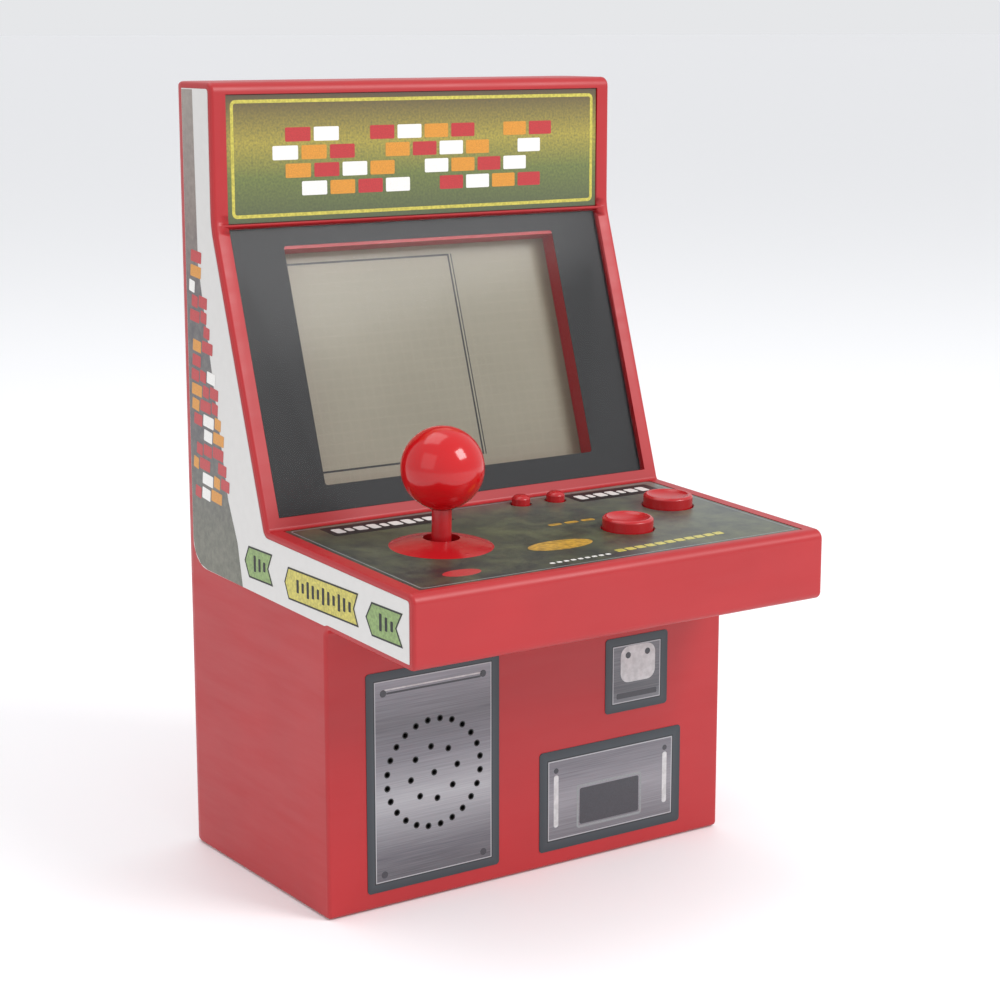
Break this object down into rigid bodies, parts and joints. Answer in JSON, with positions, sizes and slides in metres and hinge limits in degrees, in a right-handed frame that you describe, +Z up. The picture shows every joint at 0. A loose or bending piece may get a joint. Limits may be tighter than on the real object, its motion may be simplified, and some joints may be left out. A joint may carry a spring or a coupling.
{
  "type": "bartop arcade cabinet",
  "caption": "Palm-size bartop arcade cabinet: raked screen, overhanging deck with ball-top joystick and push buttons, speaker and printed coin door below, battery door behind.",
  "frame": {"origin": "on the table under the middle of the cabinet's box (half its width, half its depth)", "axes": "+X to the player's right, +Y to the back, +Z up"},
  "size_m": [0.1002, 0.092, 0.164],
  "materials": {
    "shell_plastic": "fine satin moulding",
    "control_plastic": "polished moulding",
    "ball_plastic": "high gloss",
    "shaft_plastic": "polished moulding",
    "white_plastic": "satin acetal",
    "screw_steel": "zinc plated",
    "contact_nickel": "nickel plated",
    "speaker_steel": "black plated",
    "magnet_zinc": "zinc plated",
    "cone_paper": "pressed paper",
    "lens_clear": "clear polished sheet",
    "mask_ink": "screen-printed ink",
    "display_glass": "polarised display glass",
    "reflector_foil": "satin foil",
    "contact_rubber": "soft silicone",
    "board_laminate": "solder mask",
    "chip_epoxy": "potted blob",
    "component_ceramic": "glazed chips",
    "pad_silicone": "soft silicone",
    "overlay_print": "printed film",
    "sign_print": "printed card under film",
    "side_print": "printed vinyl",
    "plate_print": "printed vinyl",
    "ribbon_pvc": "flat ribbon",
    "wire_pvc": "insulated wire",
    "cell_can": "printed sleeve on a metal can"
  },
  "bodies": {
    "housing": {"front_housing": "shell_plastic", "rear_cover": "shell_plastic", "case_screws": "screw_steel", "marquee_sign": "sign_print", "screen_lens": "lens_clear", "lens_mask": "mask_ink", "lcd_frame": "white_plastic", "lcd_glass": "display_glass", "lcd_reflector": "reflector_foil", "contact_strips": "contact_rubber", "main_board": "board_laminate", "main_board_chip": "chip_epoxy", "main_board_parts": "component_ceramic", "main_board_screws": "screw_steel", "deck_overlay": "overlay_print", "stick_bezel": "control_plastic", "gimbal_frame": "white_plastic", "gimbal_screws": "screw_steel", "stick_pad": "pad_silicone", "button_pad": "pad_silicone", "control_board": "board_laminate", "control_board_screws": "screw_steel", "ribbon_cable": "ribbon_pvc", "speaker_basket": "speaker_steel", "speaker_cone": "cone_paper", "speaker_magnet": "magnet_zinc", "speaker_screws": "screw_steel", "speaker_wires": "wire_pvc", "battery_cells": "cell_can", "battery_springs": "contact_nickel", "battery_plates": "contact_nickel", "battery_wires": "wire_pvc", "left_side_decal": "side_print", "right_side_decal": "side_print", "speaker_decal": "plate_print", "coin_slot_decal": "plate_print", "coin_door_decal": "plate_print"},
    "gimbal": {"gimbal_ring": "white_plastic"},
    "stick": {"stick_ball": "ball_plastic", "stick_shaft": "shaft_plastic", "stick_cross_pin": "screw_steel", "stick_actuator": "white_plastic"},
    "button_a": {"button_a": "control_plastic"},
    "button_b": {"button_b": "control_plastic"},
    "menu_left": {"menu_button_left": "control_plastic"},
    "menu_right": {"menu_button_right": "control_plastic"},
    "battery_door": {"battery_door": "shell_plastic", "door_screw": "screw_steel"}
  },
  "joints": [
    {"name": "stick_fore_aft", "type": "hinge", "parent": "housing", "child": "gimbal", "pos_m": [-0.0252, -0.01701, 0.06886], "axis": [1, 0, 0], "range_deg": [-8, 8], "stiffness_Nm_per_rad": 0.05},
    {"name": "stick_left_right", "type": "hinge", "parent": "gimbal", "child": "stick", "pos_m": [-0.0252, -0.01701, 0.06886], "axis": [0, 0.9993, 0.0366], "range_deg": [-8, 8], "stiffness_Nm_per_rad": 0.05},
    {"name": "button_a_press", "type": "slide", "parent": "housing", "child": "button_a", "axis": [0, 0.0366, -0.9993], "range_m": [0, 0.0011], "stiffness_N_per_m": 300},
    {"name": "button_b_press", "type": "slide", "parent": "housing", "child": "button_b", "axis": [0, 0.0366, -0.9993], "range_m": [0, 0.0011], "stiffness_N_per_m": 300},
    {"name": "menu_left_press", "type": "slide", "parent": "housing", "child": "menu_left", "axis": [0, 0.0366, -0.9993], "range_m": [0, 0.0011], "stiffness_N_per_m": 300},
    {"name": "menu_right_press", "type": "slide", "parent": "housing", "child": "menu_right", "axis": [0, 0.0366, -0.9993], "range_m": [0, 0.0011], "stiffness_N_per_m": 300},
    {"name": "battery_door_hinge", "type": "hinge", "parent": "housing", "child": "battery_door", "pos_m": [0, 0.046, 0.0105], "axis": [-1, 0, 0], "range_deg": [0, 60]}
  ]
}
